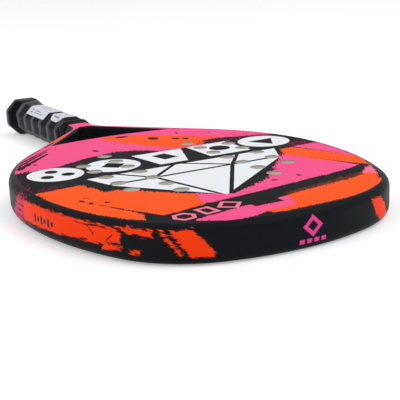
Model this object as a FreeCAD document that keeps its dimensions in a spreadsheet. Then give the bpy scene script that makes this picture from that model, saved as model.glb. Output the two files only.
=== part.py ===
import FreeCAD, Part
import math
import os
import re

import Sketcher

# A paddle racket: hollow frame hoop, throat bridge, perforated foam core between two skins,
# and a wrapped handle with a flared butt cap.
# Millimetres. Origin at the centre of the butt end, +Y towards the tip, +Z out of the upper face.

SIZES = {
    # head in plan: its width, its reach above the widest line, and the arcs from tip to strut
    "head_width": 240.0,
    "tip_reach": 145.0,
    "tip_radius": 172.0,
    "shoulder_radius": 78.0,
    "upper_side_radius": 225.0,
    "lower_side_radius": 163.5,
    "strut_angle": 41.0,
    "thickness": 24.0,
    # neck, and the tube of the hoop
    "neck_length": 14.6,
    "neck_radius": 30.0,
    "neck_width": 25.0,
    "tube_width": 12.0,
    "tube_wall": 2.4,
    "rim_round": 6.0,
    # open throat and its bridge
    "throat_angle": 38.0,
    "throat_apex_radius": 8.0,
    "throat_round": 2.5,
    "throat_length": 61.9,
    "bridge_radius": 243.0,
    "bridge_width": 14.0,
    "bridge_wall": 1.5,
    # faces and their holes
    "skin": 1.0,
    "hole_diameter": 11.0,
    "hole_pitch": 20.0,
    "hole_row_drop": 0.5,
    "inner_column": 35.0,
    "outer_column": 60.0,
    # handle: tongue of the frame, two pallets round it, grip and tape
    "tongue_side_step": 1.5,
    "tongue_face_step": 2.0,
    "tongue_corner": 6.0,
    "tongue_bore": 7.6,
    "tongue_bore_spacing": 10.6,
    "pallet_side_wall": 2.7,
    "pallet_face_wall": 3.4,
    "pallet_corner": 8.0,
    "pallet_taper": 5.0,
    "grip_end": 141.0,
    "grip_overrun": 4.0,
    "grip_thickness": 1.8,
    "grip_end_thickness": 1.2,
    "tape_width": 4.0,
    "tape_thickness": 0.8,
    # butt cap
    "cap_wall": 4.0,
    "cap_side_flare": 3.5,
    "cap_face_flare": 2.0,
    "cap_corner": 9.0,
    "cap_flat_length": 4.0,
    "cap_skirt_length": 20.0,
    "cap_skirt_edge": 0.6,
    "cap_edge_round": 2.0,
    "cord_hole": 8.0,
    "grip_step": 1.5,
    # staples that hold the cap on the pallets
    "staple_set_back": 6.0,
    "staple_crown": 9.0,
    "staple_wire": 0.9,
    "staple_leg": 4.5,
    # paper labels on the grip
    "label_thickness": 0.25,
    "label_bevel_share": 0.7,
    "large_label_start": 48.0,
    "large_label_length": 48.0,
    "small_label_start": 107.0,
    "small_label_length": 25.0,
}
# Lengths and places that follow from the sizes above.
DERIVED = {
    "tape_end": "grip_end + tape_width",
    "pallet_end": "grip_end - grip_overrun",
    "pallet_taper_start": "pallet_end - pallet_taper",
    "throat_foot": "tape_end + neck_length",
    "throat_crossing": "head_width / 2 - lower_side_radius"
                       " + ( lower_side_radius - tube_width ) / cos( throat_angle )",
    "widest_line": "throat_foot + throat_crossing / tan( throat_angle )",
    "overall_length": "widest_line + tip_reach",
    "bridge_edge": "throat_foot + throat_length",
    "hole_row_middle": "widest_line - hole_row_drop",
    "tongue_half_x": "neck_width / 2 - tongue_side_step",
    "tongue_half_z": "thickness / 2 - tongue_face_step",
    "pallet_half_x": "tongue_half_x + pallet_side_wall",
    "pallet_half_z": "tongue_half_z + pallet_face_wall",
    "cap_half_x": "pallet_half_x + cap_side_flare",
    "cap_half_z": "pallet_half_z + cap_face_flare",
    "cap_flat_end": "cap_wall + cap_flat_length",
    "cap_skirt_end": "cap_wall + cap_skirt_length",
    "staple_line": "cap_skirt_end - staple_set_back",
}
COLUMN_ROWS = {"inner_column": 7, "outer_column": 5}
UP = FreeCAD.Vector(0, 0, 1)

doc = FreeCAD.newDocument("paddle_racket")
sheet = doc.addObject("Spreadsheet::Sheet", "Sizes")


def fill_sheet():
    """Write every driving size to the sheet, one aliased cell a row."""
    for row, (alias, value) in enumerate(SIZES.items(), start=1):
        sheet.set("A%d" % row, alias)
        sheet.set("B%d" % row, repr(value))
        sheet.setAlias("B%d" % row, alias)
    doc.recompute()


def expr(text):
    """Turn the names in a formula into references to the sheet, working out the derived ones."""

    def spell(word):
        if word[0] in DERIVED:
            return "( " + expr(DERIVED[word[0]]) + " )"
        return "Sizes." + word[0] if word[0] in SIZES else word[0]

    return re.sub("[a-z_]+", spell, text)


def number(text):
    """Value of a formula of sizes."""
    return float(sheet.evalExpression(expr(text)))


# ---------------------------------------------------------------- bodies and sketches

def new_body(label):
    body = doc.addObject("PartDesign::Body", label)
    body.Label = label
    return body


def new_sketch(body, name, role, offset):
    """Sketch on one of the body's own origin planes, moved along that plane's normal."""
    sketch = body.newObject("Sketcher::SketchObject", name)
    plane = next(f for f in body.Origin.OriginFeatures if f.Role == role)
    sketch.AttachmentSupport = [(plane, "")]
    sketch.MapMode = "FlatFace"
    sketch.setExpression("AttachmentOffset.Base.z", expr(offset))
    return sketch


def level_sketch(body, name, height):
    return new_sketch(body, name, "XY_Plane", height)


def section_sketch(body, name, station):
    """Sketch across the handle: local x is X, local y is Z, its normal points to the butt."""
    return new_sketch(body, name, "XZ_Plane", "-1 * ( " + station + " )")


def bind(sketch, constraint, formula):
    """Add a dimension and tie it to its formula."""
    index = sketch.addConstraint(constraint)
    sketch.setExpression("Constraints[%d]" % index, expr(formula))


def lock(sketch, geo, pos, x_formula, y_formula):
    bind(sketch, Sketcher.Constraint("DistanceX", geo, pos, number(x_formula)), x_formula)
    bind(sketch, Sketcher.Constraint("DistanceY", geo, pos, number(y_formula)), y_formula)


def add_arc(sketch, centre, radius, start, end):
    circle = Part.Circle(FreeCAD.Vector(centre[0], centre[1], 0), UP, radius)
    return sketch.addGeometry(Part.ArcOfCircle(circle, start, end), False)


def add_line(sketch, start, end, construction=False):
    line = Part.LineSegment(FreeCAD.Vector(*start, 0), FreeCAD.Vector(*end, 0))
    return sketch.addGeometry(line, construction)


def add_polygon(sketch, points):
    """Closed outline of straight edges; each corner is a pair of formulas."""
    corners = [(number(x), number(y)) for x, y in points]
    edges = []
    for i, corner in enumerate(corners):
        edges.append(add_line(sketch, corner, corners[(i + 1) % len(corners)]))
    for i, edge in enumerate(edges):
        sketch.addConstraint(Sketcher.Constraint("Coincident", edges[i - 1], 2, edge, 1))
        lock(sketch, edge, 1, *points[i])


def add_circle(sketch, diameter, x_formula, y_formula):
    centre = FreeCAD.Vector(number(x_formula), number(y_formula), 0)
    circle = sketch.addGeometry(Part.Circle(centre, UP, number(diameter) / 2), False)
    bind(sketch, Sketcher.Constraint("Diameter", circle, number(diameter)), diameter)
    lock(sketch, circle, 3, x_formula, y_formula)


def pad(body, sketch, length, reverse=False):
    feature = body.newObject("PartDesign::Pad", "Pad")
    feature.Profile = sketch
    feature.Reversed = reverse
    feature.setExpression("Length", expr(length))
    doc.recompute()
    return feature


def pocket(body, sketch, length, reverse=False):
    """Cut, and stop if nothing was removed."""
    before = body.Shape.Volume
    feature = body.newObject("PartDesign::Pocket", "Pocket")
    feature.Profile = sketch
    feature.Reversed = reverse
    feature.setExpression("Length", expr(length))
    doc.recompute()
    if body.Shape.Volume >= before:
        raise RuntimeError(body.Label + ": " + sketch.Label + " removed nothing")
    return feature


def round_edges(body, feature, radius, chosen):
    """Fillet those edges of a feature for which chosen(box) is true."""
    names = []
    for i, edge in enumerate(feature.Shape.Edges, start=1):
        if chosen(edge.BoundBox):
            names.append("Edge%d" % i)
    fillet = body.newObject("PartDesign::Fillet", "Fillet")
    fillet.Base = (feature, names)
    fillet.setExpression("Radius", expr(radius))
    doc.recompute()
    return fillet


def loft(body, sketches, kind="PartDesign::AdditiveLoft"):
    feature = body.newObject(kind, "Loft")
    feature.Profile = sketches[0]
    feature.Sections = sketches[1:]
    feature.Ruled = True
    doc.recompute()
    return feature


# ---------------------------------------------------------------- plan of the head

def add_head_chain(sketch, inset, angle, stop):
    """Tip arc, shoulders, sides and both struts, set in from the outer edge.

    Returns the two strut lines. Their second ends are still free, and are drawn near the stop level.
    """
    half = number("head_width / 2")
    middle = number("widest_line")
    radius = {k: number("%s - ( %s )" % (k, inset)) for k in
              ("tip_radius", "shoulder_radius", "upper_side_radius", "lower_side_radius")}
    turn = math.radians(number(angle))
    tip = (0.0, number("overall_length - tip_radius"))
    upper = (half - number("upper_side_radius"), middle)
    lower = (half - number("lower_side_radius"), middle)
    # centre of the shoulder arc, inside both the tip arc and the upper side arc
    to_upper = (upper[0] - tip[0], upper[1] - tip[1])
    span = math.hypot(*to_upper)
    from_tip = number("tip_radius - shoulder_radius")
    from_upper = number("upper_side_radius - shoulder_radius")
    along = (from_tip ** 2 - from_upper ** 2 + span ** 2) / (2 * span)
    aside = math.sqrt(from_tip ** 2 - along ** 2)
    unit = (to_upper[0] / span, to_upper[1] / span)
    shoulder = (tip[0] + along * unit[0] + aside * unit[1], tip[1] + along * unit[1] - aside * unit[0])
    first = math.atan2(shoulder[1] - tip[1], shoulder[0] - tip[0])
    second = math.atan2(shoulder[1] - upper[1], shoulder[0] - upper[0])

    tip_arc = add_arc(sketch, tip, radius["tip_radius"], first, math.pi - first)
    sketch.addConstraint(Sketcher.Constraint("PointOnObject", tip_arc, 3, -2))
    bind(sketch, Sketcher.Constraint("DistanceY", tip_arc, 3, tip[1]), "overall_length - tip_radius")
    bind(sketch, Sketcher.Constraint("Radius", tip_arc, radius["tip_radius"]), "tip_radius - ( %s )" % inset)

    struts = []
    for side in (1, -1):
        # on the left every arc runs the other way round, so its ends change places
        near, far = (2, 1) if side == 1 else (1, 2)

        def arc(centre, size, start, end):
            if side == 1:
                return add_arc(sketch, centre, size, start, end)
            return add_arc(sketch, (-centre[0], centre[1]), size, math.pi - end, math.pi - start)

        shoulder_arc = arc(shoulder, radius["shoulder_radius"], second, first)
        upper_arc = arc(upper, radius["upper_side_radius"], 0.0, second)
        lower_arc = arc(lower, radius["lower_side_radius"], -turn, 0.0)
        touch = (side * (lower[0] + radius["lower_side_radius"] * math.cos(turn)),
                 lower[1] - radius["lower_side_radius"] * math.sin(turn))
        foot = number(stop)
        strut = add_line(sketch, touch, (touch[0] - side * (touch[1] - foot) * math.tan(turn), foot))
        for geo, name in ((shoulder_arc, "shoulder_radius"), (upper_arc, "upper_side_radius"),
                          (lower_arc, "lower_side_radius")):
            bind(sketch, Sketcher.Constraint("Radius", geo, radius[name]), "%s - ( %s )" % (name, inset))
        lock(sketch, upper_arc, 3, "%d * ( head_width / 2 - upper_side_radius )" % side, "widest_line")
        bind(sketch, Sketcher.Constraint("DistanceY", upper_arc, far, middle), "widest_line")
        bind(sketch, Sketcher.Constraint("DistanceY", lower_arc, 3, middle), "widest_line")
        reach = "%d * ( head_width / 2 - lower_side_radius + ( lower_side_radius - ( %s ) ) * cos( %s ) )"
        bind(sketch, Sketcher.Constraint("DistanceX", lower_arc, far, touch[0]), reach % (side, inset, angle))
        sketch.addConstraint([
            Sketcher.Constraint("Tangent", tip_arc, 1 if side == 1 else 2, shoulder_arc, near),
            Sketcher.Constraint("Tangent", shoulder_arc, far, upper_arc, near),
            Sketcher.Constraint("Coincident", upper_arc, far, lower_arc, near),
            Sketcher.Constraint("Tangent", lower_arc, far, strut, 1),
        ])
        struts.append(strut)
    return struts


def close_with_bridge_arc(sketch, struts, set_back):
    """Close the head with an arc that follows the bridge, set back from its throat edge."""
    arc = add_bridge_arc(sketch, set_back, throat_spread(set_back))
    sketch.addConstraint(Sketcher.Constraint("Coincident", struts[0], 2, arc, 2))
    sketch.addConstraint(Sketcher.Constraint("Coincident", struts[1], 2, arc, 1))


def close_with_apex(sketch, struts, growth):
    """Join both struts by the small arc at the foot of the throat."""
    size = number("throat_apex_radius + ( %s )" % growth)
    turn = math.radians(number("throat_angle"))
    ends = (sketch.Geometry[struts[0]].StartPoint, sketch.Geometry[struts[1]].StartPoint)
    cross = ends[0].y - ends[0].x / math.tan(turn)
    arc = add_arc(sketch, (0.0, cross + size / math.sin(turn)), size, math.pi + turn, 2 * math.pi - turn)
    bind(sketch, Sketcher.Constraint("Radius", arc, size), "throat_apex_radius + ( %s )" % growth)
    sketch.addConstraint(Sketcher.Constraint("Tangent", struts[0], 2, arc, 2))
    sketch.addConstraint(Sketcher.Constraint("Tangent", struts[1], 2, arc, 1))


def close_with_neck(sketch, struts, inset, end):
    """Round both struts into the neck and close it straight across at the given station."""
    half = number("neck_width / 2 - ( %s )" % inset)
    size = number("neck_radius + ( %s )" % inset)
    turn = math.radians(number("strut_angle"))
    foot = number(end)
    sides = []
    for side, strut in zip((1, -1), struts):
        start = sketch.Geometry[strut].StartPoint
        level = start.y - (side * start.x - half - size * (1 - math.cos(turn))) / math.tan(turn)
        centre = (side * (half + size), level - size * math.sin(turn))
        if side == 1:
            arc = add_arc(sketch, centre, size, math.pi - turn, math.pi)
        else:
            arc = add_arc(sketch, centre, size, 0.0, turn)
        line = add_line(sketch, (side * half, centre[1]), (side * half, foot))
        bind(sketch, Sketcher.Constraint("Radius", arc, size), "neck_radius + ( %s )" % inset)
        neck_x = "%d * ( neck_width / 2 - ( %s ) )" % (side, inset)
        bind(sketch, Sketcher.Constraint("DistanceX", line, 1, side * half), neck_x)
        bind(sketch, Sketcher.Constraint("DistanceY", line, 2, foot), end)
        first, last = (1, 2) if side == 1 else (2, 1)
        sketch.addConstraint([
            Sketcher.Constraint("Vertical", line),
            Sketcher.Constraint("Tangent", strut, 2, arc, first),
            Sketcher.Constraint("Tangent", arc, last, line, 1),
        ])
        sides.append(line)
    base = add_line(sketch, (half, foot), (-half, foot))
    sketch.addConstraint(Sketcher.Constraint("Coincident", sides[0], 2, base, 1))
    sketch.addConstraint(Sketcher.Constraint("Coincident", base, 2, sides[1], 2))


def add_throat_guides(sketch):
    """Construction lines along the inner edges of both struts."""
    guides = []
    for side in (1, -1):
        top = "%d * throat_crossing" % side
        guide = add_line(sketch, (number(top), number("widest_line")), (0.0, number("throat_foot")), True)
        lock(sketch, guide, 1, top, "widest_line")
        lock(sketch, guide, 2, "0", "throat_foot")
        guides.append(guide)
    return guides


def add_bridge_arc(sketch, set_back, spread):
    size = number("bridge_radius - ( %s )" % set_back)
    centre = (0.0, number("bridge_edge + bridge_radius"))
    half = math.asin(spread / size)
    arc = add_arc(sketch, centre, size, -math.pi / 2 - half, -math.pi / 2 + half)
    sketch.addConstraint(Sketcher.Constraint("PointOnObject", arc, 3, -2))
    bind(sketch, Sketcher.Constraint("DistanceY", arc, 3, centre[1]), "bridge_edge + bridge_radius")
    bind(sketch, Sketcher.Constraint("Radius", arc, size), "bridge_radius - ( %s )" % set_back)
    return arc


def throat_spread(set_back):
    """Half width between the struts' inner edges where a bridge arc meets them."""
    size = number("bridge_radius - ( %s )" % set_back)
    centre_y = number("bridge_edge + bridge_radius")
    foot = number("throat_foot")
    slope = math.tan(math.radians(number("throat_angle")))
    spread = 0.0
    for _ in range(40):
        level = centre_y - math.sqrt(size ** 2 - spread ** 2)
        spread = (level - foot) * slope
    return spread


def bridge_sketch(body, name, height, edge_wall):
    """Band between two arcs, from strut to strut, with a wall left off along both arcs."""
    sketch = level_sketch(body, name, height)
    guides = add_throat_guides(sketch)
    near = edge_wall
    far = "bridge_width - ( %s )" % edge_wall
    low = add_bridge_arc(sketch, near, throat_spread(near))
    high = add_bridge_arc(sketch, far, throat_spread(far))
    for guide, low_end, high_end in ((guides[0], 2, 2), (guides[1], 1, 1)):
        points = sketch.getPoint(low, low_end), sketch.getPoint(high, high_end)
        side = add_line(sketch, (points[0].x, points[0].y), (points[1].x, points[1].y))
        sketch.addConstraint([
            Sketcher.Constraint("Coincident", side, 1, low, low_end),
            Sketcher.Constraint("Coincident", side, 2, high, high_end),
            Sketcher.Constraint("PointOnObject", side, 1, guide),
            Sketcher.Constraint("PointOnObject", side, 2, guide),
        ])
    return sketch


def throat_sketch(body, name, height):
    """The open throat: the bridge's arc, both struts' inner edges and the apex arc."""
    sketch = level_sketch(body, name, height)
    guides = add_throat_guides(sketch)
    top = add_bridge_arc(sketch, "0", throat_spread("0"))
    size = number("throat_apex_radius")
    turn = math.radians(number("throat_angle"))
    foot = sketch.getPoint(guides[0], 2).y
    centre = (0.0, foot + size / math.sin(turn))
    apex = add_arc(sketch, centre, size, math.pi + turn, 2 * math.pi - turn)
    bind(sketch, Sketcher.Constraint("Radius", apex, size), "throat_apex_radius")
    for side, guide, end in ((1, guides[0], 2), (-1, guides[1], 1)):
        high = sketch.getPoint(top, end)
        touch = (side * size * math.cos(turn), centre[1] - size * math.sin(turn))
        edge = add_line(sketch, (high.x, high.y), touch)
        sketch.addConstraint([
            Sketcher.Constraint("Coincident", edge, 1, top, end),
            Sketcher.Constraint("Tangent", edge, 2, apex, end),
            Sketcher.Constraint("PointOnObject", edge, 1, guide),
            Sketcher.Constraint("PointOnObject", edge, 2, guide),
        ])
    return sketch


def head_sketch(body, name, height, inset, angle, set_back):
    sketch = level_sketch(body, name, height)
    struts = add_head_chain(sketch, inset, angle, "bridge_edge + " + set_back)
    close_with_bridge_arc(sketch, struts, set_back)
    return sketch


def hole_sketch(body, name, height):
    """Four straight columns of round holes, the outer ones shorter."""
    sketch = level_sketch(body, name, height)
    for column, rows in COLUMN_ROWS.items():
        for side in (1, -1):
            for row in range(rows):
                x_formula = "%d * %s" % (side, column)
                y_formula = "hole_row_middle + %d * hole_pitch" % (row - rows // 2)
                add_circle(sketch, "hole_diameter", x_formula, y_formula)
    return sketch


# ---------------------------------------------------------------- head pieces

LOWER_FACE = "-1 * thickness / 2"
UPPER_FACE = "thickness / 2"
LOWER_SEAT = "skin - thickness / 2"
UPPER_SEAT = "thickness / 2 - skin"


def make_frame_tube():
    """One hollow hoop whose two ends run together into the handle."""
    blank = new_body("frame_blank")
    sketch = level_sketch(blank, "frame_outline", LOWER_FACE)
    struts = add_head_chain(sketch, "0", "strut_angle", "throat_foot + neck_radius / 2")
    close_with_neck(sketch, struts, "0", "cap_wall")
    solid = pad(blank, sketch, "thickness")
    foot = number("cap_wall")
    flat = 1e-6
    near = 1.0
    round_edges(blank, solid, "rim_round",
                lambda box: box.ZLength < flat and box.YMax > foot + near)
    pocket(blank, throat_sketch(blank, "throat", UPPER_FACE), "thickness")
    bridge_line = number("bridge_edge")
    apex_line = number("throat_foot")
    slope = math.tan(math.radians(number("throat_angle")))
    faces = (number(LOWER_FACE), number(UPPER_FACE))

    def on_throat(box):
        level = box.ZLength < flat and min(abs(box.ZMin - face) for face in faces) < flat
        reach = (box.YMax - apex_line) * slope + near
        inside = box.YMin > apex_line and max(abs(box.XMin), abs(box.XMax)) < reach
        return level and inside and box.YMin < bridge_line - near

    round_edges(blank, blank.Tip, "throat_round", on_throat)
    pocket(blank, head_sketch(blank, "head_opening", UPPER_FACE, "tube_width", "throat_angle", "0"),
           "thickness")
    pocket(blank, head_sketch(blank, "upper_seat", UPPER_FACE, "rim_round", "strut_angle", "0"), "skin")
    pocket(blank, head_sketch(blank, "lower_seat", LOWER_FACE, "rim_round", "strut_angle", "0"), "skin",
           reverse=True)
    shoulder = section_sketch(blank, "tongue", "cap_wall")
    add_polygon(shoulder, octagon(*TONGUE))
    beyond = "( neck_width + thickness )"
    add_polygon(shoulder, [(beyond, beyond), ("-1 * " + beyond, beyond),
                           ("-1 * " + beyond, "-1 * " + beyond), (beyond, "-1 * " + beyond)])
    pocket(blank, shoulder, "pallet_end - cap_wall")

    hollow = new_body("frame_hollow")
    inner = level_sketch(hollow, "hollow_outline", "skin + tube_wall - thickness / 2")
    struts = add_head_chain(inner, "tube_wall", "strut_angle", "throat_foot + neck_radius / 2")
    close_with_neck(inner, struts, "tube_wall", "pallet_end")
    struts = add_head_chain(inner, "tube_width - tube_wall", "throat_angle",
                            "throat_foot + throat_apex_radius")
    close_with_apex(inner, struts, "tube_wall")
    pad(hollow, inner, "thickness - 2 * skin - 2 * tube_wall")
    bores = section_sketch(hollow, "tongue_bores", "cap_wall")
    for side in (1, -1):
        add_circle(bores, "tongue_bore", "%d * tongue_bore_spacing / 2" % side, "0")
    pad(hollow, bores, "pallet_end + 1 - cap_wall", reverse=True)

    tube = doc.addObject("Part::Cut", "frame_tube")
    tube.Base = blank
    tube.Tool = hollow
    return tube


def make_bridge():
    """The tube across the throat, and the foam that fills it."""
    core = new_body("bridge_core")
    pad(core, bridge_sketch(core, "bridge_filling", "skin + bridge_wall - thickness / 2", "bridge_wall"),
        "thickness - 2 * skin - 2 * bridge_wall")
    blank = new_body("bridge_blank")
    pad(blank, bridge_sketch(blank, "bridge_band", LOWER_SEAT, "0"), "thickness - 2 * skin")
    bridge = doc.addObject("Part::Cut", "throat_bridge")
    bridge.Base = blank
    bridge.Tool = core
    return [bridge, core]


def make_foam_core():
    core = new_body("foam_core")
    pad(core, head_sketch(core, "core_outline", LOWER_SEAT, "tube_width", "throat_angle", "bridge_width"),
        "thickness - 2 * skin")
    pocket(core, hole_sketch(core, "core_holes", UPPER_SEAT), "thickness - 2 * skin")
    return core


def make_skin(label, seat):
    skin = new_body(label)
    pad(skin, head_sketch(skin, label + "_outline", seat, "rim_round", "strut_angle", "0"), "skin")
    pocket(skin, hole_sketch(skin, label + "_holes", seat + " + skin"), "skin")
    return skin


# ---------------------------------------------------------------- handle pieces

def octagon(half_x, half_z, corner, grow="0"):
    """Corners of an eight-sided section, moved outwards by grow on every side."""
    wide = "( %s + %s )" % (half_x, grow)
    high = "( %s + %s )" % (half_z, grow)
    cut = "( %s + %s * ( 2 - sqrt( 2 ) ) )" % (corner, grow)
    points = []
    for x_side, z_side, flat_first in ((1, -1, True), (1, 1, False), (-1, 1, True), (-1, -1, False)):
        upright = ("%d * %s" % (x_side, wide), "%d * ( %s - %s )" % (z_side, high, cut))
        level = ("%d * ( %s - %s )" % (x_side, wide, cut), "%d * %s" % (z_side, high))
        points += [level, upright] if flat_first else [upright, level]
    return points


TONGUE = ("tongue_half_x", "tongue_half_z", "tongue_corner")
PALLET = ("pallet_half_x", "pallet_half_z", "pallet_corner")
NECK = ("neck_width / 2", "thickness / 2", "rim_round * ( 2 - sqrt( 2 ) )")
FLARE = ("cap_half_x", "cap_half_z", "cap_corner")
SKIRT = ("( pallet_half_x + cap_skirt_edge )", "( pallet_half_z + cap_skirt_edge )",
         "( pallet_corner + cap_skirt_edge * ( 2 - sqrt( 2 ) ) )")

# Stations along the handle and the section that the grip lies on at each.
GRIP_SEAT = [
    ("cap_wall", FLARE, "grip_thickness"),
    ("cap_flat_end", FLARE, "grip_thickness"),
    ("cap_skirt_end", SKIRT, "grip_thickness"),
    ("cap_skirt_end + grip_step", PALLET, "grip_thickness"),
    ("pallet_taper_start", PALLET, "grip_thickness"),
    ("pallet_end", NECK, "grip_end_thickness"),
    ("grip_end", NECK, "grip_end_thickness"),
]


def octagon_sketch(body, name, station, section, grow="0"):
    sketch = section_sketch(body, name, station)
    add_polygon(sketch, octagon(*section, grow))
    return sketch


def make_pallet(label, side):
    """Half shell bonded over the tongue, tapering into the neck."""
    pallet = new_body(label)
    inner_x, inner_z, inner_cut = TONGUE
    sketches = []
    for station, (half_x, half_z, cut) in (("cap_wall", PALLET), ("pallet_taper_start", PALLET),
                                           ("pallet_end", NECK)):
        outer = [(half_x, "0"),
                 (half_x, "%d * ( %s - %s )" % (side, half_z, cut)),
                 ("%s - %s" % (half_x, cut), "%d * %s" % (side, half_z))]
        inner = [(inner_x, "0"),
                 (inner_x, "%d * ( %s - %s )" % (side, inner_z, inner_cut)),
                 ("%s - %s" % (inner_x, inner_cut), "%d * %s" % (side, inner_z))]
        mirrored_outer = [("-1 * ( %s )" % x, z) for x, z in reversed(outer)]
        mirrored_inner = [("-1 * ( %s )" % x, z) for x, z in inner]
        sketch = section_sketch(pallet, label + "_section", station)
        add_polygon(sketch, outer + mirrored_outer + mirrored_inner + list(reversed(inner)))
        sketches.append(sketch)
    loft(pallet, sketches)
    return pallet


def make_butt_cap():
    """Flared cup over the end of the pallets, with a hole for a wrist cord."""
    cap = new_body("butt_cap")
    rim = pad(cap, octagon_sketch(cap, "cap_rim", "0", FLARE, "grip_thickness"), "cap_wall", reverse=True)
    flat = 1e-6
    round_edges(cap, rim, "cap_edge_round", lambda box: box.YLength < flat and abs(box.YMin) < flat)
    skirt = [octagon_sketch(cap, "cap_skirt", station, section)
             for station, section, _ in GRIP_SEAT[:3]]
    loft(cap, skirt)
    pocket(cap, octagon_sketch(cap, "cap_socket", "cap_wall", PALLET), "cap_skirt_end - cap_wall")
    hole = section_sketch(cap, "cord_hole_outline", "0")
    add_circle(hole, "cord_hole", "0", "0")
    pocket(cap, hole, "cap_wall")
    return cap


def make_staples():
    """Two wire staples sunk flush in the cap's skirt, one on each broad side."""
    staples = new_body("cap_staples")
    for side in (1, -1):
        seat = ("( cap_half_z - ( cap_face_flare - cap_skirt_edge )"
                " * ( staple_line + staple_wire - cap_flat_end ) / ( cap_skirt_end - cap_flat_end ) )")
        profile = section_sketch(staples, "staple_wire", "staple_line")
        outer = "staple_crown / 2"
        inner = "( staple_crown / 2 - staple_wire )"
        top = "%d * %s" % (side, seat)
        under = "%d * ( %s - staple_wire )" % (side, seat)
        foot = "%d * ( %s - staple_leg )" % (side, seat)
        add_polygon(profile, [
            (outer, foot), (outer, top), ("-1 * " + outer, top), ("-1 * " + outer, foot),
            ("-1 * " + inner, foot), ("-1 * " + inner, under), (inner, under), (inner, foot)])
        pad(staples, profile, "staple_wire", reverse=True)
    return staples


def make_grip():
    """The wound grip as one closed sleeve on the cap, the pallets and the neck."""
    grip = new_body("base_grip")
    outside = [octagon_sketch(grip, "grip_outside", station, section, grow)
               for station, section, grow in GRIP_SEAT]
    loft(grip, outside)
    inside = [octagon_sketch(grip, "grip_inside", station, section) for station, section, _ in GRIP_SEAT]
    loft(grip, inside, "PartDesign::SubtractiveLoft")
    return grip


def make_finishing_tape():
    tape = new_body("finishing_tape")
    ring = section_sketch(tape, "tape_ring", "grip_end")
    add_polygon(ring, octagon(*NECK, "tape_thickness"))
    add_polygon(ring, octagon(*NECK))
    pad(tape, ring, "tape_end - grip_end", reverse=True)
    return tape


def make_label(label, start, length):
    """Thin label bent over the grip's upper flat and both bevels beside it."""
    sticker = new_body(label)
    section = section_sketch(sticker, label + "_section", start)
    outer = octagon(*PALLET, "( grip_thickness + label_thickness )")
    inner = octagon(*PALLET, "grip_thickness")

    def part_way(far, near):
        """Point on the bevel between its outer and its upper corner."""
        return tuple("( %s ) * label_bevel_share + ( %s ) * ( 1 - label_bevel_share )" % (far[i], near[i])
                     for i in (0, 1))

    add_polygon(section, [
        part_way(outer[2], outer[3]), outer[3], outer[4], part_way(outer[5], outer[4]),
        part_way(inner[5], inner[4]), inner[4], inner[3], part_way(inner[2], inner[3])])
    pad(sticker, section, length, reverse=True)
    return sticker


def make_all():
    nodes = [make_frame_tube()]
    nodes += make_bridge()
    nodes.append(make_foam_core())
    nodes.append(make_skin("upper_face_skin", UPPER_SEAT))
    nodes.append(make_skin("lower_face_skin", LOWER_FACE))
    nodes.append(make_pallet("handle_pallet_upper", 1))
    nodes.append(make_pallet("handle_pallet_lower", -1))
    nodes.append(make_butt_cap())
    nodes.append(make_staples())
    nodes.append(make_grip())
    nodes.append(make_finishing_tape())
    nodes.append(make_label("large_label", "large_label_start", "large_label_length"))
    nodes.append(make_label("small_label", "small_label_start", "small_label_length"))
    return nodes


def check(nodes):
    """Stop if any object failed, or any piece is empty or broken."""
    for item in doc.Objects:
        if "Invalid" in item.State or "Error" in item.State:
            raise RuntimeError("failed: " + item.Label)
    for node in nodes:
        if node.Shape.isNull() or not node.Shape.isValid() or not node.Shape.Solids:
            raise RuntimeError("bad shape: " + node.Label)


fill_sheet()
pieces = make_all()
doc.recompute()
check(pieces)
os.makedirs("parts", exist_ok=True)
for piece in pieces:
    piece.Shape.exportStep("parts/%s.step" % piece.Label)
    box = piece.Shape.BoundBox
    print("%-22s %d solid(s) %10.1f mm3  x %.1f..%.1f  y %.1f..%.1f  z %.1f..%.1f" % (
        piece.Label, len(piece.Shape.Solids), piece.Shape.Volume,
        box.XMin, box.XMax, box.YMin, box.YMax, box.ZMin, box.ZMax))
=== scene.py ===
import math

import bmesh
import bpy
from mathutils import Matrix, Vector


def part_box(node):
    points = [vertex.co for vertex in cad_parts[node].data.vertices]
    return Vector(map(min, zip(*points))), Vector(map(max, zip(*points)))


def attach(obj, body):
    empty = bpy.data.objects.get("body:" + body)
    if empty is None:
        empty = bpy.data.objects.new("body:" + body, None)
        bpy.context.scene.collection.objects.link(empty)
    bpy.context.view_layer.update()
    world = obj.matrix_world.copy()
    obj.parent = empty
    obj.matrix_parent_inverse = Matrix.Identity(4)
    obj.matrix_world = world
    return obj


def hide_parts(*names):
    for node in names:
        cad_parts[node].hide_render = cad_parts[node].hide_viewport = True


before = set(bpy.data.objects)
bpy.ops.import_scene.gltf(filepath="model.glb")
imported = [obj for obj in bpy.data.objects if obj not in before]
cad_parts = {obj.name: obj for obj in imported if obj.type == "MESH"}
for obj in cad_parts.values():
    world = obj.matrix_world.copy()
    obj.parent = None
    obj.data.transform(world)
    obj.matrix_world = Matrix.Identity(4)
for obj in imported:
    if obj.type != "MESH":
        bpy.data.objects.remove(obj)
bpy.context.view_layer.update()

# A paddle racket on a plain pale floor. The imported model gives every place; this script adds the
# wound grip, its tape and labels, and the printed, lacquered, foamed and rubbery finishes.

MM = 0.001


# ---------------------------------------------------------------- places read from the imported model

def box_mm(node):
    """Lowest and highest corner of a node, in millimetres."""
    low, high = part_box(node)
    return low / MM, high / MM


GRIP_LOW, GRIP_HIGH = box_mm("base_grip")
TAPE_LOW, TAPE_HIGH = box_mm("finishing_tape")
PALLET_HIGH = box_mm("handle_pallet_upper")[1]
FRAME_LOW, FRAME_HIGH = box_mm("frame_tube")
THICKNESS = FRAME_HIGH.z - FRAME_LOW.z
TIP = FRAME_HIGH.y
# Middle of the head, from which the rim's print is laid out.
HEAD_MIDDLE = TIP - 145.0


# ---------------------------------------------------------------- camera, lamps, floor

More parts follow.
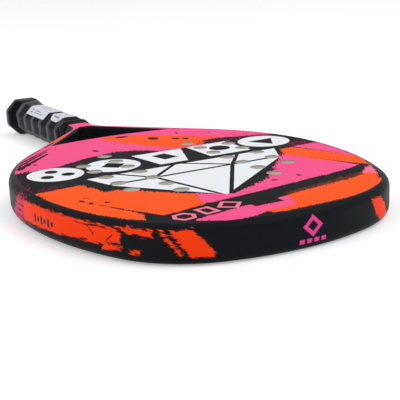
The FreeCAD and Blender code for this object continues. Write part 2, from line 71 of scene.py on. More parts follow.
CAMERA_PLACE = (0.285226, 0.888177, 0.154554)
CAMERA_TURN = 151.2074
CAMERA_RISE = 15.5167
CAMERA_ROLL = -2.4177
CAMERA_LENS = 80.3
CAMERA_SHIFT = 0.0003


def make_camera():
    """Camera by its place and three turns, in degrees."""
    turn = math.radians(CAMERA_TURN)
    rise = math.radians(CAMERA_RISE)
    roll = math.radians(CAMERA_ROLL)
    back = Vector((math.sin(turn) * math.cos(rise), -math.cos(turn) * math.cos(rise), math.sin(rise)))
    right = (-back).cross(Vector((0, 0, 1))).normalized()
    up = right.cross(-back)
    side = right * math.cos(roll) + up * math.sin(roll)
    top = up * math.cos(roll) - right * math.sin(roll)
    data = bpy.data.cameras.new("studio_camera")
    data.lens = CAMERA_LENS
    data.sensor_width = 36.0
    data.shift_x = CAMERA_SHIFT
    data.clip_end = 20.0
    camera = bpy.data.objects.new("studio_camera", data)
    bpy.context.scene.collection.objects.link(camera)
    for row in range(3):
        camera.matrix_world[row][0] = side[row]
        camera.matrix_world[row][1] = top[row]
        camera.matrix_world[row][2] = back[row]
        camera.matrix_world[row][3] = CAMERA_PLACE[row]
    bpy.context.scene.camera = camera


def make_lamp(name, place, aim, size, power):
    """Soft oblong lamp that faces a point."""
    data = bpy.data.lights.new(name, "AREA")
    data.shape = "RECTANGLE"
    data.size = size[0]
    data.size_y = size[1]
    data.energy = power
    lamp = bpy.data.objects.new(name, data)
    bpy.context.scene.collection.objects.link(lamp)
    lamp.location = place
    lamp.rotation_euler = (Vector(aim) - Vector(place)).to_track_quat("-Z", "Y").to_euler()


def make_world():
    """Soft even light; what the camera and mirrors see of it is plain white."""
    world = bpy.data.worlds.new("studio")
    world.use_nodes = True
    bpy.context.scene.world = world
    tree = world.node_tree
    soft = tree.nodes["Background"]
    soft.inputs["Color"].default_value = (0.98, 0.99, 1.0, 1.0)
    soft.inputs["Strength"].default_value = 0.72
    white = tree.nodes.new("ShaderNodeBackground")
    white.inputs["Strength"].default_value = 1.0
    path = tree.nodes.new("ShaderNodeLightPath")
    mix = tree.nodes.new("ShaderNodeMixShader")
    tree.links.new(path.outputs["Is Camera Ray"], mix.inputs["Fac"])
    tree.links.new(soft.outputs[0], mix.inputs[1])
    tree.links.new(white.outputs[0], mix.inputs[2])
    tree.links.new(mix.outputs[0], tree.nodes["World Output"].inputs["Surface"])


# The racket rests on its grip's flare and on its lower rim near the tip, at these levels along it.
HEEL_REST = 11.0
TIP_REST = TIP - 6.0
FLOOR_GAP = 0.02
FLOOR_HALF = 6000.0


def make_floor():
    """Floor under the racket as it lies, touching its two rests."""
    slope = (FRAME_LOW.z + FLARE_Z) / (TIP_REST - HEEL_REST)
    bm = bmesh.new()
    bmesh.ops.create_grid(bm, x_segments=2, y_segments=2, size=FLOOR_HALF)
    for vert in bm.verts:
        level = -FLARE_Z + (vert.co.y - HEEL_REST) * slope - FLOOR_GAP
        vert.co = Vector((vert.co.x, vert.co.y, level)) * MM
    floor = new_object("floor", bm)
    floor.data.materials.append(floor_material())


# ---------------------------------------------------------------- mesh helpers

def new_object(name, bm):
    """Turn a finished mesh into a smooth-shaded object at the origin."""
    mesh = bpy.data.meshes.new(name)
    bm.to_mesh(mesh)
    bm.free()
    for face in mesh.polygons:
        face.use_smooth = True
    piece = bpy.data.objects.new(name, mesh)
    bpy.context.scene.collection.objects.link(piece)
    return piece


def add_piece(name, bm, node, material):
    """Finish a piece that stands for a CAD node and lies on the one body."""
    piece = new_object(name, bm)
    piece.data.materials.append(material)
    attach(piece, "root")
    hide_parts(node)
    return piece


# ---------------------------------------------------------------- node wiring

class Wiring:
    """Adds nodes to one tree. An input may be a number, a tuple or another node's output."""

    def __init__(self, tree):
        self.tree = tree

    def add(self, kind, **settings):
        node = self.tree.nodes.new(kind)
        for key, value in settings.items():
            setattr(node, key, value)
        return node

    def feed(self, socket, value):
        if isinstance(value, bpy.types.NodeSocket):
            self.tree.links.new(value, socket)
        else:
            socket.default_value = value

    def math(self, operation, a, b=0.0, c=0.0, clamp=False):
        node = self.add("ShaderNodeMath", operation=operation, use_clamp=clamp)
        for socket, value in zip(node.inputs, (a, b, c)):
            self.feed(socket, value)
        return node.outputs[0]

    def vector(self, operation, a, b=(0.0, 0.0, 0.0), c=(0.0, 0.0, 0.0)):
        node = self.add("ShaderNodeVectorMath", operation=operation)
        for socket, value in zip(node.inputs, (a, b, c)):
            self.feed(socket, value)
        scalar = operation in ("DOT_PRODUCT", "LENGTH", "DISTANCE")
        return node.outputs["Value" if scalar else "Vector"]

    def combine(self, x, y, z):
        node = self.add("ShaderNodeCombineXYZ")
        for socket, value in zip(node.inputs, (x, y, z)):
            self.feed(socket, value)
        return node.outputs[0]

    def separate(self, vector):
        node = self.add("ShaderNodeSeparateXYZ")
        self.feed(node.inputs[0], vector)
        return node.outputs

    def blend(self, share, first, second):
        """Colour that goes from first to second as share goes from 0 to 1."""
        node = self.add("ShaderNodeMix", data_type="RGBA", clamp_factor=True)
        self.feed(node.inputs[0], share)
        self.feed(node.inputs[6], first)
        self.feed(node.inputs[7], second)
        return node.outputs[2]

    def noise(self, vector, scale, detail=2.0, roughness=0.5):
        """Noise from -1 to 1."""
        node = self.add("ShaderNodeTexNoise")
        self.feed(node.inputs["Vector"], vector)
        node.inputs["Scale"].default_value = scale
        node.inputs["Detail"].default_value = detail
        node.inputs["Roughness"].default_value = roughness
        return self.math("MULTIPLY_ADD", node.outputs["Fac"], 4.0, -2.0)

    def range(self, value, low, high, out_low=0.0, out_high=1.0):
        node = self.add("ShaderNodeMapRange")
        for socket, item in zip(node.inputs, (value, low, high, out_low, out_high)):
            self.feed(socket, item)
        return node.outputs[0]

    def bump(self, height, distance, strength):
        node = self.add("ShaderNodeBump")
        node.inputs["Strength"].default_value = strength
        node.inputs["Distance"].default_value = distance
        self.feed(node.inputs["Height"], height)
        return node.outputs[0]


def new_group(name, inputs, outputs):
    """Empty shader node group with named sockets; returns it with its wiring and input outputs."""
    tree = bpy.data.node_groups.new(name, "ShaderNodeTree")
    for label, kind, value in inputs:
        socket = tree.interface.new_socket(name=label, in_out="INPUT", socket_type=kind)
        if value is not None:
            socket.default_value = value
    for label, kind in outputs:
        tree.interface.new_socket(name=label, in_out="OUTPUT", socket_type=kind)
    wire = Wiring(tree)
    entry = wire.add("NodeGroupInput")
    leave = wire.add("NodeGroupOutput")
    return tree, wire, entry.outputs, leave.inputs


def place_group(wire, tree, **values):
    node = wire.add("ShaderNodeGroup", node_tree=tree)
    for label, value in values.items():
        wire.feed(node.inputs[label.replace("_", " ")], value)
    return node.outputs


def new_material(name):
    """Material with its wiring, its Principled node and the object's own coordinates."""
    material = bpy.data.materials.new(name)
    material.use_nodes = True
    wire = Wiring(material.node_tree)
    shader = material.node_tree.nodes["Principled BSDF"]
    place = wire.add("ShaderNodeTexCoord").outputs["Object"]
    return material, wire, shader, place


def tone(red, green, blue):
    """Linear colour of a paint given in ordinary 0 to 255 steps."""
    levels = []
    for step in (red, green, blue):
        part = step / 255.0
        levels.append(part / 12.92 if part <= 0.04045 else ((part + 0.055) / 1.055) ** 2.4)
    return (levels[0], levels[1], levels[2], 1.0)


# ---------------------------------------------------------------- the print on faces and rim

BLACK = tone(21, 22, 26)
PINK = tone(250, 85, 143)
PALE_PINK = tone(250, 120, 150)
ORANGE = tone(255, 88, 27)
RIM_ORANGE = tone(255, 64, 14)
RIM_RED = tone(226, 48, 96)
BROWN = tone(112, 44, 26)
WINE = tone(84, 8, 22)
WHITE = tone(238, 240, 243)
SCRATCH = tone(38, 12, 18)
HATCH_WINE = tone(150, 22, 52)
DASH_BROWN = tone(90, 30, 20)
BADGE_PINK = tone(240, 70, 150)
CUT_SHEET = tone(176, 173, 164)
DUST = tone(150, 150, 155)

# Printed patches of a face, painted in this order, as corner points in millimetres.
# Each row: colour, how ragged its edge is, how soft its edge is, and its convex shapes.
FACE_FIELDS = [
    (PINK, 0.6, 0.5, [
        [(-125, 304), (-125, 140), (125, 140), (125, 304)]]),
    (ORANGE, 1.2, 5.0, [
        [(-76, 296), (-50, 262), (-25, 238), (0, 224), (16, 228), (-18, 300)],
        [(30, 190), (46, 203), (62, 217), (54, 222), (38, 210), (26, 197)]]),
    (ORANGE, 0.8, 0.6, [
        [(-80, 464), (-75, 450), (-20, 458), (-10, 461), (20, 481), (17, 486), (10, 488), (-30, 487),
         (-42, 486), (-60, 481), (-70, 475)],
        [(-97, 433), (-71, 450), (-76, 466), (-88, 450)]]),
    (PALE_PINK, 1.0, 3.0, [
        [(-97, 432), (-90, 436), (-80, 446), (-87, 452)]]),
    (BROWN, 2.4, 1.0, [
        [(-80, 444), (-12, 456), (-12, 459.5), (-76, 450)]]),
    (PINK, 0.7, 0.6, [
        [(20, 483), (18, 464), (60, 472), (60, 475), (52, 480), (45, 485), (30, 486)],
        [(-10, 461), (0, 463), (20, 470), (20, 481), (-2, 481)]]),
    (PINK, 1.1, 0.6, [
        [(-93, 426), (-85, 405), (-72, 370), (-60, 345), (20, 400), (34, 424), (41, 449), (0, 443),
         (-66, 436), (-80, 431)]]),
    (ORANGE, 1.0, 2.0, [
        [(-98, 430), (-107, 412), (-108, 400), (-104, 390), (-85, 405), (-92, 418)],
        [(-105, 394), (-98, 375), (-90, 352), (-78, 352), (-70, 369), (-86, 411)]]),
    (PINK, 1.2, 1.5, [
        [(-114.5, 349), (-90, 349), (-104, 392), (-108, 405), (-113, 380)]]),
    (ORANGE, 0.9, 0.6, [
        [(41, 449), (35, 432), (32, 418), (60, 385), (80, 385), (77, 440), (70, 454), (60, 452)],
        [(83, 456), (76, 438), (78, 359), (114, 362), (113, 390), (108, 410), (100, 430), (90, 448)]]),
]
# The black middle, drawn over the fields in the same way.
FACE_MIDDLE = (BLACK, 2.0, 0.5, [
    [(-84, 352), (81, 352), (80, 386), (66, 397), (34, 424), (20, 441), (-14, 425), (-36, 412), (-50, 398),
     (-66, 372)],
    [(-125, 301), (125, 301), (125, 357), (78, 357), (-125, 349)],
    [(-102, 304), (-100, 299), (-75, 290), (-60, 286), (-50, 288), (-42, 300)],
    [(-8, 304), (0, 292), (10, 285), (22, 280), (36, 280), (50, 287), (80, 295), (108, 302)]])
# Narrow marks where dry paint tore: two ends and a width each.
FACE_SCRATCHES = [
    ((76, 446), (84, 428), 2.6),
    ((83, 430), (91, 411), 2.0),
    ((103, 292), (66, 253), 5.2),
    ((100, 283), (64, 245), 3.0),
    ((97, 275), (58, 236), 2.6),
    ((90, 262), (66, 236), 2.2),
    ((60, 230), (46, 214), 1.6),
    ((-58, 232), (-40, 214), 1.4),
    ((4, 167), (-8, 171), 1.2),
    ((-47, 251), (-50, 241), 1.5),
    ((-92, 424), (-84, 396), 1.6),
    ((-95, 330), (-92, 346), 3.0),
]
# Spatter: middle, half width and half height of each drop.
FACE_DROPS = [
    (-44, 425, 1.6, 2.4), (-24, 426, 1.8, 1.6), (85, 408, 1.4, 1.8), (94, 405, 1.6, 2.6),
    (97, 397, 1.4, 2.6), (92, 392, 1.0, 1.4), (-43, 271, 2.6, 3.6), (-37, 266, 2.8, 3.8),
    (-23, 254, 4.0, 5.5), (-5, 232, 5.4, 3.0), (33, 268, 2.0, 3.6), (86, 283, 1.2, 2.0),
    (76, 262, 1.0, 1.2), (-70, 262, 1.0, 1.4), (55, 240, 1.2, 1.0),
]
# Places where the edge of the middle is hatched over in wine red.
FACE_HATCH = [
    [(-104, 306), (-98, 286), (-70, 282), (-40, 284), (-38, 306)],
    [(83, 350), (114, 352), (114, 361), (83, 360)],
    [(107, 300), (111, 300), (114, 330), (115, 358), (112, 358)],
    [(-112, 350), (-108, 332), (-92, 334), (-88, 350)],
]
# Patches round the rim: millimetres of turn from the tip at the mean radius, and height.
RIM_RADIUS = 134.0
# The print of the flats runs further round the tube's edge on the struts, up to this level.
STRUT_PRINT_END = 205.0
RIM_FIELDS = [
    (RIM_ORANGE, 0.9, 0.5, [
        [(-50, 7.6), (-59, 7.2), (-67, 1), (-73, -8.6), (-60, -8.6), (-54, -2)],
        [(75, 8.8), (63, 8.8), (57, 3), (52, -4), (53, -6.6), (64, -6.6), (69, 0)],
        [(80.6, 8.8), (78.8, 8.8), (68.6, -4.8), (70.2, -5.4)],
        [(84, 8.8), (111, 8.8), (111, 6.8), (98, 6), (90, 3.2), (84, 3.2)],
        [(102, 6), (112, 8.4), (152, 8.4), (206, 8.0), (210, 0), (206, -7.6), (140, -7.4), (120, -3.4),
         (104, -3)],
        [(91, -3.8), (97, -4.4), (97, -6), (91, -6)],
        [(102, -2.6), (114, -2), (116, -6.4), (104, -5)],
        [(-168, 8), (-124, 7.6), (-118, 0), (-126, -9.4), (-168, -9)],
        [(-112, -9), (-77, -9.6), (-77, -12.5), (-112, -12.5)],
        [(-330, 7), (-292, 8), (-286, -6), (-330, -7)]]),
    (RIM_RED, 2.4, 5.0, [
        [(204, 8), (218, 8.2), (236, -8), (208, -8)]]),
    (PINK, 1.6, 1.0, [
        [(-132, 8), (-119, 7), (-116, 1), (-128, 1)],
        [(-182, 8), (-168, 8.4), (-166, -9), (-178, -9)],
        [(316, 9), (378, 9), (378, -7), (316, -7)],
        [(-292, 8.4), (-270, 8.4), (-264, -6), (-286, -7)]]),
]
RIM_SCRATCHES = [
    ((62, 9), (58, 5), 0.7), ((57, 4), (54.5, -1), 0.5),
    ((112, 7.4), (137, 6.4), 1.0), ((128, -2.4), (148, -5.2), 1.3), ((139, -4.8), (152, -3.2), 0.9),
    ((122, 2), (127, 6.5), 0.8), ((206, 3), (228, 3), 1.0), ((209, -1), (231, -1), 1.2),
    ((207, -5), (231, -5), 0.9), ((108, 3.5), (113, -1), 1.1), ((320, 4), (376, 2), 1.4),
    ((320, -1), (376, -3), 1.4), ((-152, 4), (-140, -6), 1.0),
]
# Short dashes in a row on the long orange patch: turn and half height.
RIM_DASHES = [(162.5 + 4.6 * step, 2.6 if step % 2 else 1.5) for step in range(6)]


def strip(start, end, width, narrowing=0.4):
    """Four corners of a narrow mark, narrower at its far end."""
    along = Vector((end[0] - start[0], end[1] - start[1])).normalized()
    aside = Vector((-along.y, along.x)) * width / 2
    return [(start[0] + aside.x, start[1] + aside.y), (start[0] - aside.x, start[1] - aside.y),
            (end[0] - aside.x * narrowing, end[1] - aside.y * narrowing),
            (end[0] + aside.x * narrowing, end[1] + aside.y * narrowing)]


def block(x, y, half_x, half_y, turn=0.0):
    """Four corners of a box, turned about its middle."""
    angle = math.radians(turn)
    points = []
    for a, b in ((-1, -1), (1, -1), (1, 1), (-1, 1)):
        across, along = a * half_x, b * half_y
        points.append((x + across * math.cos(angle) - along * math.sin(angle),
                       y + across * math.sin(angle) + along * math.cos(angle)))
    return points


def many_sided(x, y, size, count, turn=0.0):
    """Corners of a regular shape, each at the same distance from its middle."""
    points = []
    for step in range(count):
        angle = math.radians(turn) + 2 * math.pi * step / count
        points.append((x + size * math.cos(angle), y + size * math.sin(angle)))
    return points


def inside_shape(wire, plane, corners):
    """Distance inside a convex shape; plane is (x, y, 1)."""
    area = 0.0
    for (x0, y0), (x1, y1) in zip(corners, corners[1:] + corners[:1]):
        area += x0 * y1 - x1 * y0
    if area < 0:
        corners = corners[::-1]
    least = None
    for (x0, y0), (x1, y1) in zip(corners, corners[1:] + corners[:1]):
        length = math.hypot(x1 - x0, y1 - y0)
        across = (-(y1 - y0) / length, (x1 - x0) / length)
        edge = (across[0], across[1], -(across[0] * x0 + across[1] * y0))
        inside = wire.vector("DOT_PRODUCT", plane, edge)
        least = inside if least is None else wire.math("MINIMUM", least, inside)
    return least


def inside_round(wire, plane, x, y, half_x, half_y=None):
    """Distance inside an ellipse, in millimetres near its edge."""
    half_y = half_y or half_x
    scale = (1 / half_x, 1 / half_y, 0.0)
    middle = (-x / half_x, -y / half_y, 0.0)
    reach = wire.vector("LENGTH", wire.vector("MULTIPLY_ADD", plane, scale, middle))
    size = min(half_x, half_y)
    return wire.math("MULTIPLY_ADD", reach, -size, size)


def any_of(wire, parts):
    """The union of parts: the greatest of their distances."""
    most = parts[0]
    for part in parts[1:]:
        most = wire.math("MAXIMUM", most, part)
    return most


def without(wire, part, hole):
    """The part less the hole."""
    return wire.math("MINIMUM", part, wire.math("MULTIPLY", hole, -1.0))


def cover(wire, inside, tear, ragged, soft):
    """Share of paint from a distance inside a shape, with a torn edge."""
    torn = wire.math("MULTIPLY_ADD", tear, ragged * 1.6, inside)
    return wire.math("MULTIPLY_ADD", torn, 1.0 / soft, 0.5, clamp=True)


def paint_field(wire, colour, plane, tear, field):
    """The colour so far, painted over with one row of the fields."""
    paint, ragged, soft, shapes = field
    inside = any_of(wire, [inside_shape(wire, plane, shape) for shape in shapes])
    return wire.blend(cover(wire, inside, tear, ragged, soft), colour, paint)


def tear_noise(wire, plane, slant, long, short):
    """Streaky noise that makes brushed, torn edges along a slanted direction."""
    angle = math.radians(slant)
    along = wire.vector("DOT_PRODUCT", plane, (math.cos(angle) / long, math.sin(angle) / long, 0.0))
    across = wire.vector("DOT_PRODUCT", plane, (-math.sin(angle) / short, math.cos(angle) / short, 0.0))
    bristles = wire.noise(wire.combine(along, across, 0.0), 1.0, 5.0, 0.72)
    patchy = wire.noise(wire.combine(along, across, 3.0), 0.16, 1.0)
    return wire.math("MULTIPLY", bristles, wire.range(patchy, -0.7, 0.7, 0.35, 2.2))


# The big white print: a cut gem, its black facet lines, and a row of plain solid shapes under it.
GEM = [(-77, 347), (-64, 373), (18, 437), (66, 373), (73, 347)]
GEM_FACETS = [
    ((-72, 371), (72, 371), 3.4), ((-26, 371), (17, 440), 3.0), ((34, 371), (19, 440), 3.0),
    ((-26, 371), (-46, 345), 3.0), ((-26, 371), (2, 345), 3.0), ((34, 371), (6, 345), 3.0),
    ((34, 371), (52, 345), 3.0),
]
ROW = 320.5


def white_gem(wire, plane):
    facets = any_of(wire, [inside_shape(wire, plane, strip(*line, 0.9)) for line in GEM_FACETS])
    return without(wire, inside_shape(wire, plane, GEM), facets)


def white_row(wire, plane):
    """Pierced discs, square and wedge in a row."""
    def disc(x, y, size):
        return inside_round(wire, plane, x, y, size)

    def box(x, y, half_x, half_y, turn=0.0):
        return inside_shape(wire, plane, block(x, y, half_x, half_y, turn))

    wedge = inside_shape(wire, plane, [(-22, 302), (19, 302), (14, 340), (-8, 340)])
    eyes = any_of(wire, [disc(x, y, 4.6) for x, y in many_sided(85, ROW, 8.6, 3, 30)])
    peak = inside_shape(wire, plane, many_sided(-85, ROW, 12.5, 3, 90))
    return [
        without(wire, disc(-85, ROW, 20), peak),
        without(wire, box(-44, ROW, 17, 19), disc(-46, ROW - 1, 8)),
        without(wire, wedge, box(0, ROW - 2, 6, 8, 12)),
        without(wire, disc(42, ROW, 19.5), box(42, ROW, 6.5, 6.5, 45)),
        without(wire, disc(85, ROW, 19.5), eyes),
    ]


def small_row(wire, plane):
    """Three small outlined shapes in a slanting row on the black band."""
    diamond = without(wire, inside_shape(wire, plane, block(29, 457.5, 6.4, 6.4, 50)),
                      inside_shape(wire, plane, block(29, 457.5, 4.0, 4.0, 50)))
    square = without(wire, inside_shape(wire, plane, block(45.5, 460, 5.4, 6.6, 8)),
                     inside_shape(wire, plane, block(45.5, 460, 2.8, 4.0, 8)))
    nut = without(wire, inside_shape(wire, plane, many_sided(62, 463, 7.8, 6, 8)),
                  inside_shape(wire, plane, many_sided(62, 463, 4.8, 6, 8)))
    return any_of(wire, [diamond, square, nut])


def face_plane(wire, place):
    """The face's own x and y in millimetres and 1, the lower face being the upper one turned over."""
    x, y, z = wire.separate(wire.vector("MULTIPLY", place, (1000.0, 1000.0, 1000.0)))
    return wire.combine(wire.math("MULTIPLY", x, wire.math("SIGN", z)), y, 1.0)


def rim_strip(wire, place):
    """Millimetres of turn round the rim from the tip, height in millimetres, and 1."""
    x, y, z = wire.separate(wire.vector("MULTIPLY", place, (1000.0, 1000.0, 1000.0)))
    turn = wire.math("ARCTAN2", x, wire.math("SUBTRACT", y, HEAD_MIDDLE))
    return wire.combine(wire.math("MULTIPLY", turn, RIM_RADIUS), z, 1.0)


def face_print_group():
    """Print of a face."""
    tree, wire, entry, leave = new_group(
        "face_print", [("Place", "NodeSocketVector", None)],
        [("Color", "NodeSocketColor"), ("White Ink", "NodeSocketFloat")])
    plane = face_plane(wire, entry["Place"])
    tear = tear_noise(wire, plane, 62.0, 9.0, 1.3)
    colour = BLACK
    for field in FACE_FIELDS:
        colour = paint_field(wire, colour, plane, tear, field)
    black_tear = any_of(wire, [inside_shape(wire, plane, [(-1, 459), (20, 463), (18, 470), (-1, 470)])]
                        + [inside_shape(wire, plane, strip(*mark)) for mark in FACE_SCRATCHES])
    colour = wire.blend(cover(wire, black_tear, tear, 0.9, 0.5), colour, SCRATCH)
    drops = any_of(wire, [inside_round(wire, plane, *drop) for drop in FACE_DROPS])
    colour = wire.blend(cover(wire, drops, tear, 0.7, 0.9), colour, WINE)
    colour = paint_field(wire, colour, plane, tear, FACE_MIDDLE)
    streak = tear_noise(wire, plane, 60.0, 16.0, 1.1)
    hatch = any_of(wire, [inside_shape(wire, plane, shape) for shape in FACE_HATCH])
    hatch = wire.math("MULTIPLY", cover(wire, hatch, tear, 2.0, 2.0), wire.range(streak, 0.1, 0.6))
    colour = wire.blend(hatch, colour, HATCH_WINE)
    outlines = cover(wire, small_row(wire, plane), tear, 0.15, 0.3)
    colour = wire.blend(outlines, colour, PALE_PINK)
    whites = any_of(wire, white_row(wire, plane) + [white_gem(wire, plane)])
    white = cover(wire, whites, tear, 0.1, 0.25)
    colour = wire.blend(white, colour, WHITE)
    wire.feed(leave["Color"], colour)
    wire.feed(leave["White Ink"], white)
    return tree


def rim_print_group():
    """Print of the rim."""
    tree, wire, entry, leave = new_group(
        "rim_print", [("Place", "NodeSocketVector", None)], [("Color", "NodeSocketColor")])
    plane = rim_strip(wire, entry["Place"])
    tear = tear_noise(wire, plane, 8.0, 5.0, 0.9)
    colour = BLACK
    for field in RIM_FIELDS:
        colour = paint_field(wire, colour, plane, tear, field)
    marks = any_of(wire, [inside_shape(wire, plane, strip(*mark)) for mark in RIM_SCRATCHES])
    colour = wire.blend(cover(wire, marks, tear, 0.7, 0.5), colour, BLACK)
    dashes = [inside_shape(wire, plane, block(turn, 0.0, 1.3, high)) for turn, high in RIM_DASHES]
    dashes = any_of(wire, dashes)
    colour = wire.blend(cover(wire, dashes, tear, 0.1, 0.3), colour, DASH_BROWN)
    diamond = without(wire, inside_shape(wire, plane, block(-3.4, 2.4, 4.6, 4.6, 45)),
                      inside_shape(wire, plane, block(-3.4, 2.4, 2.4, 2.4, 45)))
    bars = [inside_shape(wire, plane, block(-10.4 + 4.7 * step, -6.2, 1.6, 1.3)) for step in range(4)]
    badge = any_of(wire, [diamond] + bars)
    colour = wire.blend(cover(wire, badge, tear, 0.05, 0.3), colour, BADGE_PINK)
    wire.feed(leave["Color"], colour)
    return tree


def edge_masks_group():
    """Where the rim's print begins, and the cut edge of a face's sheet inside its holes."""
    tree, wire, entry, leave = new_group(
        "edge_masks", [("Place", "NodeSocketVector", None)],
        [("On Rim", "NodeSocketFloat"), ("Cut Edge", "NodeSocketFloat")])
    _, y, z = wire.separate(wire.vector("MULTIPLY", entry["Place"], (1000.0, 1000.0, 1000.0)))
    below = wire.math("SUBTRACT", THICKNESS / 2, wire.math("ABSOLUTE", z))
    wrapped = wire.range(y, STRUT_PRINT_END, STRUT_PRINT_END + 50, 0.4, 0.08)
    wire.feed(leave["On Rim"], wire.range(wire.math("SUBTRACT", below, wrapped), 0.0, 0.14))
    wire.feed(leave["Cut Edge"], wire.range(below, 0.08, 0.16))
    return tree


def lacquer_group():
    """Fine orange peel, scuffs and dust of a lacquered surface."""
    tree, wire, entry, leave = new_group(
        "lacquer",
        [("Place", "NodeSocketVector", None), ("Base Roughness", "NodeSocketFloat", 0.4),
         ("Peel", "NodeSocketFloat", 1.0)],
        [("Roughness", "NodeSocketFloat"), ("Height", "NodeSocketFloat"), ("Dust", "NodeSocketFloat")])
    cloudy = wire.noise(entry["Place"], 45.0, 3.0)
    fine = wire.noise(entry["Place"], 900.0, 2.0)
    rub = wire.noise(wire.vector("MULTIPLY", entry["Place"], (900.0, 60.0, 300.0)), 1.0, 3.0)
    rubbed = wire.math("MULTIPLY", wire.range(rub, 0.55, 0.9), 0.05)
    rough = wire.math("MULTIPLY_ADD", cloudy, 0.03, entry["Base Roughness"])
    wire.feed(leave["Roughness"], wire.math("ADD", rough, rubbed))
    peel = wire.math("MULTIPLY", fine, entry["Peel"])
    wire.feed(leave["Height"], wire.math("MULTIPLY_ADD", cloudy, 0.6, peel))
    wire.feed(leave["Dust"], wire.range(wire.noise(entry["Place"], 2200.0, 1.0), 1.25, 1.6))
    return tree


GROUPS = {}


def group(name):
    """Each shared effect, built once."""
    makers = {"face_print": face_print_group, "rim_print": rim_print_group, "lacquer": lacquer_group,
              "edge_masks": edge_masks_group, "rubber_skin": rubber_skin_group}
    if name not in GROUPS:
        GROUPS[name] = makers[name]()
    return GROUPS[name]


# ---------------------------------------------------------------- finishes

FLOOR_GLOW = 0.32


def floor_material():
    """Pale floor that looks plain white to the camera and in reflections."""
    material, wire, shader, _ = new_material("pale_floor")
    shader.inputs["Base Color"].default_value = (0.86, 0.87, 0.88, 1.0)
    shader.inputs["Roughness"].default_value = 0.9
    shader.inputs["Specular IOR Level"].default_value = 0.1
    glow = wire.add("ShaderNodeEmission")
    path = wire.add("ShaderNodeLightPath")
    seen = wire.math("MAXIMUM", path.outputs["Is Camera Ray"], path.outputs["Is Glossy Ray"])
    seen = wire.math("MAXIMUM", seen, path.outputs["Is Transmission Ray"])
    wire.feed(glow.inputs["Strength"], wire.math("MULTIPLY", seen, FLOOR_GLOW))
    both = wire.add("ShaderNodeAddShader")
    wire.feed(both.inputs[0], shader.outputs[0])
    wire.feed(both.inputs[1], glow.outputs[0])
    wire.feed(material.node_tree.nodes["Material Output"].inputs["Surface"], both.outputs[0])
    return material


def face_laminate():
    """Printed and lacquered sheet of a face."""
    material, wire, shader, place = new_material("face_laminate")
    edges = place_group(wire, group("edge_masks"), Place=place)
    printed = place_group(wire, group("face_print"), Place=place)
    coat = place_group(wire, group("lacquer"), Place=place, Base_Roughness=0.5, Peel=0.5)
    ink = wire.math("MULTIPLY_ADD", printed["White Ink"], 1.5, coat["Height"])
    colour = wire.blend(edges["Cut Edge"], printed["Color"], CUT_SHEET)
    wire.feed(shader.inputs["Base Color"], colour)
    wire.feed(shader.inputs["Roughness"], coat["Roughness"])
    wire.feed(shader.inputs["Normal"], wire.bump(ink, 0.00004, 0.5))
    shader.inputs["Specular IOR Level"].default_value = 0.02
    return material


def painted_laminate():
    """The tube: the face's print on its flats, its own print round the rim, black elsewhere."""
    material, wire, shader, place = new_material("painted_laminate")
    edges = place_group(wire, group("edge_masks"), Place=place)
    printed = place_group(wire, group("face_print"), Place=place)
    rim = place_group(wire, group("rim_print"), Place=place)
    coat = place_group(wire, group("lacquer"), Place=place, Base_Roughness=0.42, Peel=0.7)
    colour = wire.blend(edges["On Rim"], printed["Color"], rim["Color"])
    colour = wire.blend(wire.math("MULTIPLY", coat["Dust"], 0.25), colour, DUST)
    wire.feed(shader.inputs["Base Color"], colour)
    wire.feed(shader.inputs["Roughness"], coat["Roughness"])
    wire.feed(shader.inputs["Normal"], wire.bump(coat["Height"], 0.00005, 0.5))
    shader.inputs["Specular IOR Level"].default_value = 0.05
    return material


def foam(name, base, dark):
    """Closed-cell foam with small open cells where it is cut, their pits painted darker as shade."""
    material, wire, shader, place = new_material(name)
    cells = wire.add("ShaderNodeTexVoronoi")
    wire.feed(cells.inputs["Vector"], place)
    cells.inputs["Scale"].default_value = 1500.0
    cell = cells.outputs["Distance"]
    cloud = wire.noise(place, 160.0, 3.0)
    # Painted shade: each open cell is darker towards its middle, where its pit is deepest; the cloudy
    # darkening after it is the foam's own uneven tone.
    colour = wire.blend(wire.range(cell, 0.0, 0.5), dark, base)
    colour = wire.blend(wire.math("MULTIPLY", wire.range(cloud, -1.0, 1.0), 0.25), colour, dark)
    wire.feed(shader.inputs["Base Color"], colour)
    wire.feed(shader.inputs["Roughness"], wire.math("MULTIPLY_ADD", cell, -0.2, 0.9))
    wire.feed(shader.inputs["Normal"], wire.bump(cell, 0.0002, 0.6))
    shader.inputs["Specular IOR Level"].default_value = 0.2
    return material


def moulded_plastic(name, base, rough):
    """Moulded plastic with a fine spark-eroded texture."""
    material, wire, shader, place = new_material(name)
    coat = place_group(wire, group("lacquer"), Place=place, Base_Roughness=rough, Peel=1.0)
    colour = wire.blend(wire.math("MULTIPLY", coat["Dust"], 0.3), base, tone(120, 120, 122))
    wire.feed(shader.inputs["Base Color"], colour)
    wire.feed(shader.inputs["Roughness"], coat["Roughness"])
    wire.feed(shader.inputs["Normal"], wire.bump(coat["Height"], 0.00012, 0.6))
    return material


def staple_wire():
    """Drawn steel wire."""
    material, wire, shader, place = new_material("staple_wire")
    drawn = wire.noise(wire.vector("MULTIPLY", place, (300.0, 6000.0, 6000.0)), 1.0, 2.0)
    colour = wire.blend(wire.range(drawn, -1.0, 1.0), tone(150, 150, 152), tone(200, 200, 200))
    wire.feed(shader.inputs["Base Color"], colour)
    wire.feed(shader.inputs["Roughness"], wire.math("MULTIPLY_ADD", drawn, 0.05, 0.32))
    shader.inputs["Metallic"].default_value = 1.0
    return material


